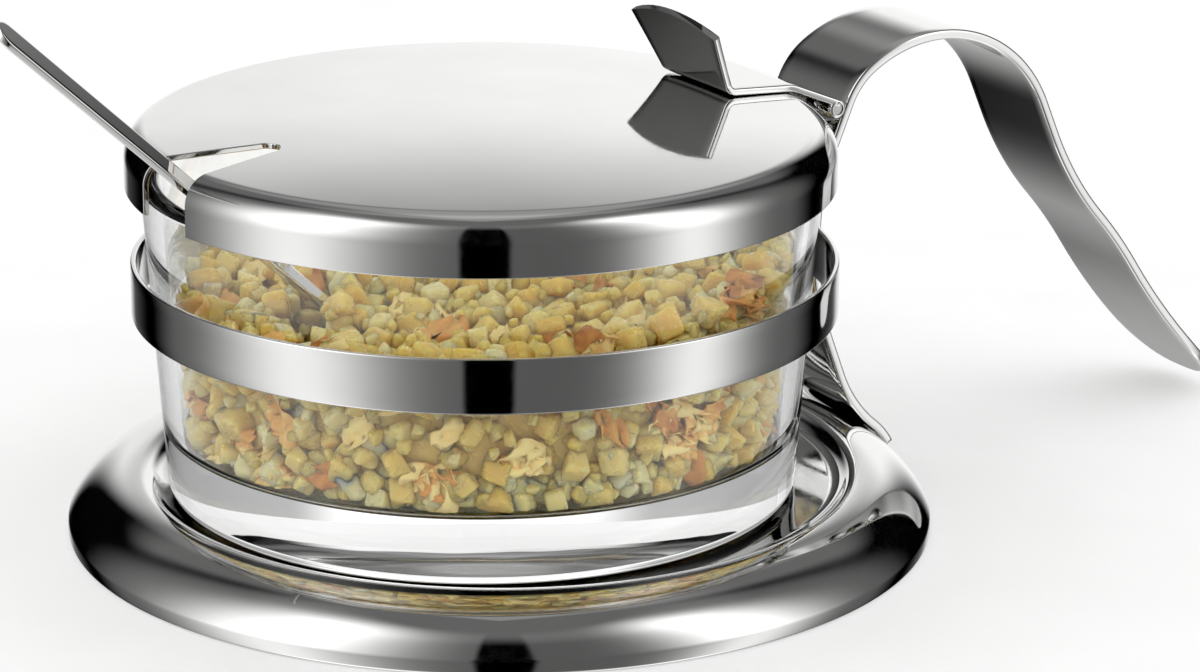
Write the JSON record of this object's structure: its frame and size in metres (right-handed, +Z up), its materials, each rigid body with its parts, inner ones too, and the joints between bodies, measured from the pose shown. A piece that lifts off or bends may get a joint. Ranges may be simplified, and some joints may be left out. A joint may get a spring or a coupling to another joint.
{
  "type": "salt cellar",
  "caption": "Glass salt jar on a steel saucer, held by a banded handle strip with a hinged notched lid, thumb tab and spoon.",
  "frame": {"origin": "on the table, under the axis that the jar and the lid share", "axes": "+Z is up along the jar's axis, +X points along the handle, +Y completes a right-handed frame"},
  "size_m": [0.1963, 0.12, 0.0786],
  "materials": {
    "polished_steel": "polished",
    "plain_steel": "satin",
    "clear_glass": "polished",
    "coarse_salt": "matte"
  },
  "bodies": {
    "stand": {"base_saucer": "polished_steel", "glass_jar": "clear_glass", "salt_fill": "coarse_salt", "jar_band": "polished_steel", "handle_strip": "polished_steel", "hinge_bracket": "plain_steel", "hinge_pin": "plain_steel"},
    "lid": {"lid_shell": "polished_steel", "lid_leaf": "polished_steel"},
    "spoon": {"spoon": "polished_steel"}
  },
  "joints": [
    {"name": "lid_hinge", "type": "hinge", "parent": "stand", "child": "lid", "pos_m": [0.0522, 0, 0.0541], "axis": [0, 1, 0], "range_deg": [0, 80]},
    {"name": "spoon_slide", "type": "slide", "parent": "stand", "child": "spoon", "axis": [-0.7314, 0, 0.682], "range_m": [0, 0.02]}
  ]
}
